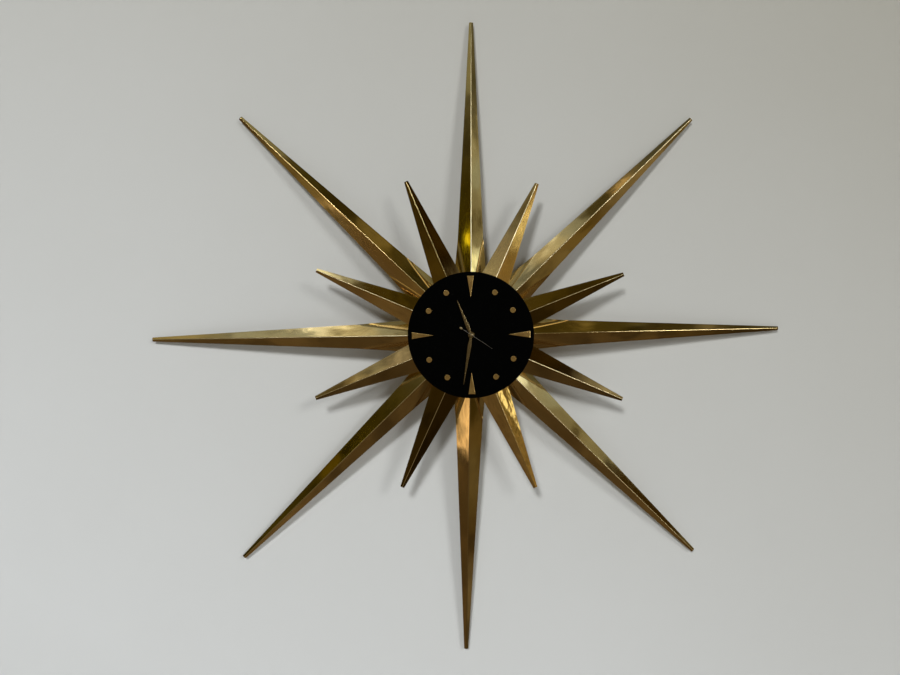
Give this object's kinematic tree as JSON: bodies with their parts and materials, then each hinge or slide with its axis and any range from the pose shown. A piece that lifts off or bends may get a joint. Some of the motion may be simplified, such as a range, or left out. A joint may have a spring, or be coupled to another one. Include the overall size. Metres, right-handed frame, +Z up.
{
  "type": "sunburst wall clock",
  "caption": "Sunburst wall clock with folded brass rays in two layers, a black dial with brass markers, three hands and a battery balance-wheel movement in a rear can.",
  "frame": {"origin": "on the clock's axis, at the flat rear face of the can that rests on the wall", "axes": "+Z up to 12 o'clock, +X to 3 o'clock, the dial faces -Y and +Y points into the wall"},
  "size_m": [0.9199, 0.0695, 0.92],
  "materials": {
    "ray_brass": "polished sheet brass with fine streaks, lightly tarnished",
    "marker_brass": "satin brass",
    "hand_brass": "satin brass, dulled",
    "movement_brass": "stamped and brushed brass",
    "steel": "turned steel",
    "zinc_plate": "zinc-plated sheet steel",
    "dial_black": "deep matt black paint",
    "can_black": "matt black paint on sheet steel",
    "knob_plastic": "black moulded plastic",
    "coil_copper": "enamelled copper wire",
    "battery_label": "plain printed sleeve with no text"
  },
  "bodies": {
    "clock_case": {"ray_long_1": "ray_brass", "ray_long_2": "ray_brass", "ray_long_3": "ray_brass", "ray_long_4": "ray_brass", "ray_long_5": "ray_brass", "ray_long_6": "ray_brass", "ray_long_7": "ray_brass", "ray_long_8": "ray_brass", "ray_short_1": "ray_brass", "ray_short_2": "ray_brass", "ray_short_3": "ray_brass", "ray_short_4": "ray_brass", "ray_short_5": "ray_brass", "ray_short_6": "ray_brass", "ray_short_7": "ray_brass", "ray_short_8": "ray_brass", "hour_dot_1": "marker_brass", "hour_dot_2": "marker_brass", "hour_dot_4": "marker_brass", "hour_dot_5": "marker_brass", "hour_dot_7": "marker_brass", "hour_dot_8": "marker_brass", "hour_dot_10": "marker_brass", "hour_dot_11": "marker_brass", "hour_wedge_3": "marker_brass", "hour_wedge_6": "marker_brass", "hour_wedge_9": "marker_brass", "hour_wedge_12": "marker_brass", "dial_plate": "dial_black", "ray_carrier": "zinc_plate", "dial_post_1": "steel", "dial_post_2": "steel", "dial_post_3": "steel", "rear_can": "can_black", "battery_cover": "can_black", "hanger_plate": "steel", "front_plate": "movement_brass", "bush_nut": "steel", "middle_plate": "movement_brass", "rear_plate": "movement_brass", "pillar_1": "steel", "pillar_2": "steel", "pillar_3": "steel", "drive_coil": "coil_copper", "battery": "battery_label", "contact_positive": "steel", "contact_negative": "steel"},
    "minute_group": {"minute_hand": "hand_brass", "cannon_pinion": "steel", "centre_wheel": "movement_brass"},
    "hour_group": {"hour_hand": "hand_brass", "hour_wheel": "movement_brass"},
    "motion_group": {"motion_wheel": "movement_brass"},
    "setting_group": {"setting_knob": "knob_plastic"},
    "third_group": {"third_wheel": "movement_brass"},
    "seconds_group": {"second_hand": "steel", "seconds_wheel": "movement_brass"},
    "index_group": {"index_wheel": "movement_brass"},
    "balance_group": {"balance_wheel": "movement_brass", "hairspring": "steel"}
  },
  "joints": [
    {"name": "minute_spin", "type": "hinge", "parent": "clock_case", "child": "minute_group", "pos_m": [0, -0.04, 0], "axis": [0, 1, 0], "continuous": true},
    {"name": "hour_spin", "type": "hinge", "parent": "clock_case", "child": "hour_group", "pos_m": [0, -0.04, 0], "axis": [0, 1, 0], "continuous": true},
    {"name": "motion_spin", "type": "hinge", "parent": "clock_case", "child": "motion_group", "pos_m": [0, -0.04, 0.012], "axis": [0, 1, 0], "continuous": true},
    {"name": "setting_spin", "type": "hinge", "parent": "clock_case", "child": "setting_group", "pos_m": [0, -0.04, 0.024], "axis": [0, 1, 0], "continuous": true},
    {"name": "third_spin", "type": "hinge", "parent": "clock_case", "child": "third_group", "pos_m": [0.014, -0.04, 0], "axis": [0, 1, 0], "continuous": true},
    {"name": "seconds_spin", "type": "hinge", "parent": "clock_case", "child": "seconds_group", "pos_m": [0, -0.04, 0], "axis": [0, 1, 0], "continuous": true},
    {"name": "index_spin", "type": "hinge", "parent": "clock_case", "child": "index_group", "pos_m": [-0.014, -0.04, 0], "axis": [0, 1, 0], "continuous": true},
    {"name": "balance_swing", "type": "hinge", "parent": "clock_case", "child": "balance_group", "pos_m": [-0.026, -0.04, 0], "axis": [0, 1, 0], "range_deg": [-220, 220], "stiffness_Nm_per_rad": 0.00003, "deforming": ["hairspring"]}
  ],
  "couplings": [
    {"joint": "hour_spin", "follows": "minute_spin", "ratio": 0.083333},
    {"joint": "motion_spin", "follows": "minute_spin", "ratio": -0.33333},
    {"joint": "setting_spin", "follows": "minute_spin", "ratio": 1},
    {"joint": "third_spin", "follows": "minute_spin", "ratio": -6},
    {"joint": "seconds_spin", "follows": "minute_spin", "ratio": 60},
    {"joint": "index_spin", "follows": "minute_spin", "ratio": -360}
  ]
}
